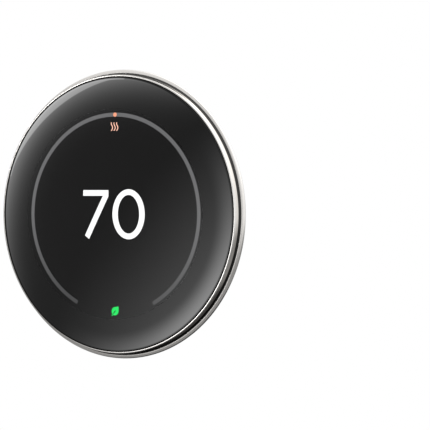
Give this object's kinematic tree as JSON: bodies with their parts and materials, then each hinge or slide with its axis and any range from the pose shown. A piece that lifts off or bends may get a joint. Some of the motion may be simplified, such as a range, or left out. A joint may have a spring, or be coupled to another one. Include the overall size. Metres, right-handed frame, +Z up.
{
  "type": "wall thermostat",
  "caption": "Round wall thermostat with a domed black glass screen in a polished turning ring; the display unit pulls off a wall base with push-in wire terminals.",
  "frame": {"origin": "midway between the two wall screw holes, on the wall face of the base", "axes": "+Z up, +Y into the wall, the glass faces -Y, +X to the right as seen from the front"},
  "size_m": [0.0946, 0.0275, 0.0946],
  "materials": {
    "polished_ring": "polished stainless steel, bright",
    "clear_glass": "clear domed glass over a black screen, high gloss",
    "black_print": "black ink printed on the back of the glass",
    "black_tape": "black foam adhesive tape",
    "screen_black": "black screen panel",
    "screen_light": "white diffusing film, emissive when lit",
    "tail_film": "amber flexible circuit",
    "carrier_plastic": "fine moulded texture",
    "frame_plastic": "fine moulded texture",
    "rear_plastic": "dark grey, fine spark-eroded texture",
    "bearing_plastic": "natural acetal, low sheen",
    "circuit_board": "green solder mask over copper traces",
    "chip_black": "moulded epoxy",
    "connector_black": "glass-filled nylon",
    "contact_metal": "gold-plated brass",
    "steel": "nickel-plated steel",
    "battery_wrap": "foil pouch with a blue label, blank",
    "lead_red": "silicone insulation",
    "sensor_white": "white ceramic",
    "encoder_film": "white film with fine black bars",
    "base_plastic": "warm white, fine moulded texture",
    "terminal_plastic": "light grey",
    "tab_plastic": "white, smooth",
    "clear_acrylic": "clear acrylic",
    "level_liquid": "yellow-green spirit"
  },
  "bodies": {
    "base": {"base_rear_plate": "base_plastic", "base_cover": "base_plastic", "base_board": "circuit_board", "base_chips": "chip_black", "terminal_block_left": "terminal_plastic", "terminal_block_right": "terminal_plastic", "terminal_contacts_left": "contact_metal", "terminal_contacts_right": "contact_metal", "level_vial": "clear_acrylic", "level_liquid": "level_liquid", "base_socket": "connector_black", "socket_contacts": "contact_metal", "base_screws": "steel", "catch_springs": "steel"},
    "display": {"rear_cover": "rear_plastic", "chassis": "frame_plastic", "main_board": "circuit_board", "shield_cans": "steel", "battery": "battery_wrap", "battery_lead": "lead_red", "plug_housing": "connector_black", "plug_contacts": "contact_metal", "usb_port": "steel", "buzzer": "chip_black", "click_switch": "steel", "rear_cover_screws": "steel", "board_screws": "steel", "antenna": "contact_metal", "guide_bushings": "bearing_plastic", "climate_sensor": "sensor_white", "screen_socket": "bearing_plastic"},
    "face": {"lens": "clear_glass", "lens_mask": "black_print", "lens_tape": "black_tape", "screen_panel": "screen_black", "screen_backlight": "screen_light", "screen_tail": "tail_film", "face_carrier": "carrier_plastic", "guide_pins": "steel", "dial_bearing": "bearing_plastic", "dial_retainer": "frame_plastic", "retainer_screws": "steel", "ring_sensor": "chip_black", "presence_sensor": "chip_black", "light_sensor": "sensor_white", "return_springs": "steel"},
    "dial": {"dial_ring": "polished_ring", "encoder_band": "encoder_film"},
    "terminal_tab_l1": {"terminal_tab_l1": "tab_plastic"},
    "terminal_tab_l2": {"terminal_tab_l2": "tab_plastic"},
    "terminal_tab_l3": {"terminal_tab_l3": "tab_plastic"},
    "terminal_tab_l4": {"terminal_tab_l4": "tab_plastic"},
    "terminal_tab_l5": {"terminal_tab_l5": "tab_plastic"},
    "terminal_tab_l6": {"terminal_tab_l6": "tab_plastic"},
    "terminal_tab_r1": {"terminal_tab_r1": "tab_plastic"},
    "terminal_tab_r2": {"terminal_tab_r2": "tab_plastic"},
    "terminal_tab_r3": {"terminal_tab_r3": "tab_plastic"},
    "terminal_tab_r4": {"terminal_tab_r4": "tab_plastic"},
    "terminal_tab_r5": {"terminal_tab_r5": "tab_plastic"},
    "terminal_tab_r6": {"terminal_tab_r6": "tab_plastic"}
  },
  "joints": [
    {"name": "display_pull", "type": "slide", "parent": "base", "child": "display", "axis": [0, -1, 0], "range_m": [0, 0.03]},
    {"name": "face_press", "type": "slide", "parent": "display", "child": "face", "axis": [0, 1, 0], "range_m": [0, 0.001], "stiffness_N_per_m": 2500, "springref_m": -0.001, "deforming": ["return_springs"]},
    {"name": "dial_turn", "type": "hinge", "parent": "face", "child": "dial", "pos_m": [0, 0, 0], "axis": [0, -1, 0], "continuous": true},
    {"name": "terminal_tab_l1_press", "type": "slide", "parent": "base", "child": "terminal_tab_l1", "axis": [0, 1, 0], "range_m": [0, 0.0012], "stiffness_N_per_m": 400, "springref_m": -0.0005},
    {"name": "terminal_tab_l2_press", "type": "slide", "parent": "base", "child": "terminal_tab_l2", "axis": [0, 1, 0], "range_m": [0, 0.0012], "stiffness_N_per_m": 400, "springref_m": -0.0005},
    {"name": "terminal_tab_l3_press", "type": "slide", "parent": "base", "child": "terminal_tab_l3", "axis": [0, 1, 0], "range_m": [0, 0.0012], "stiffness_N_per_m": 400, "springref_m": -0.0005},
    {"name": "terminal_tab_l4_press", "type": "slide", "parent": "base", "child": "terminal_tab_l4", "axis": [0, 1, 0], "range_m": [0, 0.0012], "stiffness_N_per_m": 400, "springref_m": -0.0005},
    {"name": "terminal_tab_l5_press", "type": "slide", "parent": "base", "child": "terminal_tab_l5", "axis": [0, 1, 0], "range_m": [0, 0.0012], "stiffness_N_per_m": 400, "springref_m": -0.0005},
    {"name": "terminal_tab_l6_press", "type": "slide", "parent": "base", "child": "terminal_tab_l6", "axis": [0, 1, 0], "range_m": [0, 0.0012], "stiffness_N_per_m": 400, "springref_m": -0.0005},
    {"name": "terminal_tab_r1_press", "type": "slide", "parent": "base", "child": "terminal_tab_r1", "axis": [0, 1, 0], "range_m": [0, 0.0012], "stiffness_N_per_m": 400, "springref_m": -0.0005},
    {"name": "terminal_tab_r2_press", "type": "slide", "parent": "base", "child": "terminal_tab_r2", "axis": [0, 1, 0], "range_m": [0, 0.0012], "stiffness_N_per_m": 400, "springref_m": -0.0005},
    {"name": "terminal_tab_r3_press", "type": "slide", "parent": "base", "child": "terminal_tab_r3", "axis": [0, 1, 0], "range_m": [0, 0.0012], "stiffness_N_per_m": 400, "springref_m": -0.0005},
    {"name": "terminal_tab_r4_press", "type": "slide", "parent": "base", "child": "terminal_tab_r4", "axis": [0, 1, 0], "range_m": [0, 0.0012], "stiffness_N_per_m": 400, "springref_m": -0.0005},
    {"name": "terminal_tab_r5_press", "type": "slide", "parent": "base", "child": "terminal_tab_r5", "axis": [0, 1, 0], "range_m": [0, 0.0012], "stiffness_N_per_m": 400, "springref_m": -0.0005},
    {"name": "terminal_tab_r6_press", "type": "slide", "parent": "base", "child": "terminal_tab_r6", "axis": [0, 1, 0], "range_m": [0, 0.0012], "stiffness_N_per_m": 400, "springref_m": -0.0005}
  ]
}
